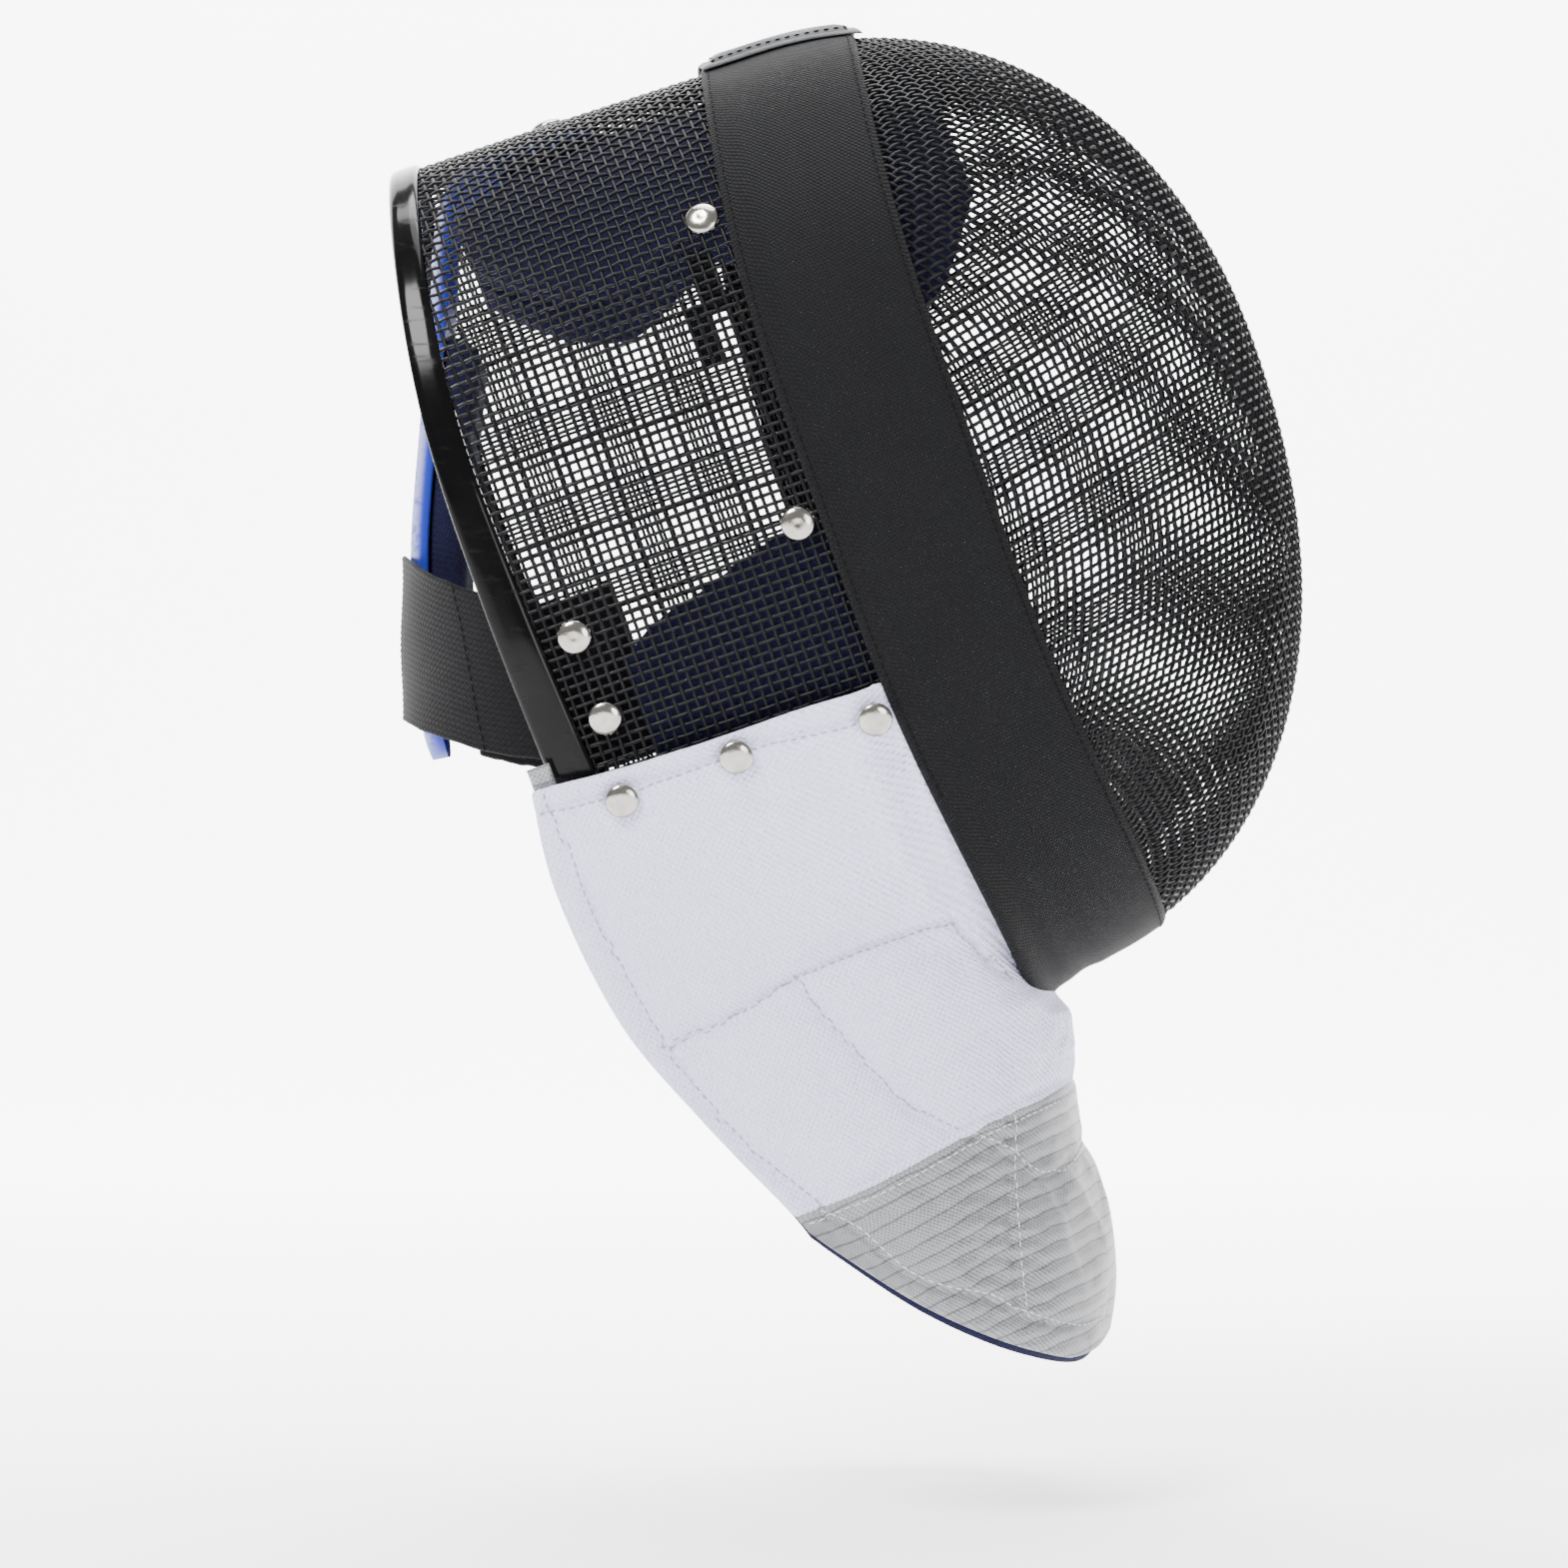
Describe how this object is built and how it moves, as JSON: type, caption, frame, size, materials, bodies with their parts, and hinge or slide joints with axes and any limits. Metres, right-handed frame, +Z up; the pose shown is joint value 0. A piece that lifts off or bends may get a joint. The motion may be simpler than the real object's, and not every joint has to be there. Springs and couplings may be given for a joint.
{
  "type": "fencing mask",
  "caption": "Fencing mask with a woven wire mesh face, webbing band, spring tongue and elastic strap at the back, and a padded white bib whose lower part is conductive silver cloth.",
  "frame": {"origin": "underside of the head pad at the crown, where the top of the wearer's head meets the mask", "axes": "+Z up, -Y forward the way the wearer faces, +X to the wearer's left; the mask is pitched back as it sits on a head"},
  "size_m": [0.2006, 0.2782, 0.404],
  "materials": {
    "wire_mesh": "semi-gloss black paint over crimped steel wire",
    "rim_pvc": "glossy black dipped PVC over a steel strip",
    "webbing": "matte black woven webbing",
    "patch_vinyl": "satin grey-black padded vinyl",
    "nickel": "polished nickel",
    "tongue_pvc": "glossy blue dipped PVC over spring steel",
    "elastic": "matte black ribbed elastic",
    "navy_cloth": "matte navy padded lining",
    "white_cloth": "matte tight-woven white cloth with a cool tint",
    "lame_cloth": "silver-grey conductive cloth with a soft metal sheen"
  },
  "bodies": {
    "root": {"face_mesh": "wire_mesh", "back_mesh": "wire_mesh", "rim_trim": "rim_pvc", "joint_band": "webbing", "crown_patch": "patch_vinyl", "back_tongue": "tongue_pvc", "tongue_pad": "navy_cloth", "back_strap": "elastic", "strap_tab_right": "elastic", "strap_tab_left": "elastic", "head_pad": "navy_cloth", "jaw_lining_right": "navy_cloth", "pad_tab_right": "webbing", "jaw_lining_left": "navy_cloth", "pad_tab_left": "webbing", "bib_cloth": "white_cloth", "bib_lame": "lame_cloth", "bib_lining": "navy_cloth", "rivet_temple_right": "nickel", "rivet_cheek_right": "nickel", "rivet_strap_upper_right": "nickel", "rivet_strap_lower_right": "nickel", "rivet_bib_rear_right": "nickel", "rivet_bib_middle_right": "nickel", "rivet_bib_front_right": "nickel", "rivet_temple_left": "nickel", "rivet_cheek_left": "nickel", "rivet_strap_upper_left": "nickel", "rivet_strap_lower_left": "nickel", "rivet_bib_rear_left": "nickel", "rivet_bib_middle_left": "nickel", "rivet_bib_front_left": "nickel", "rivet_crown": "nickel"}
  },
  "joints": []
}
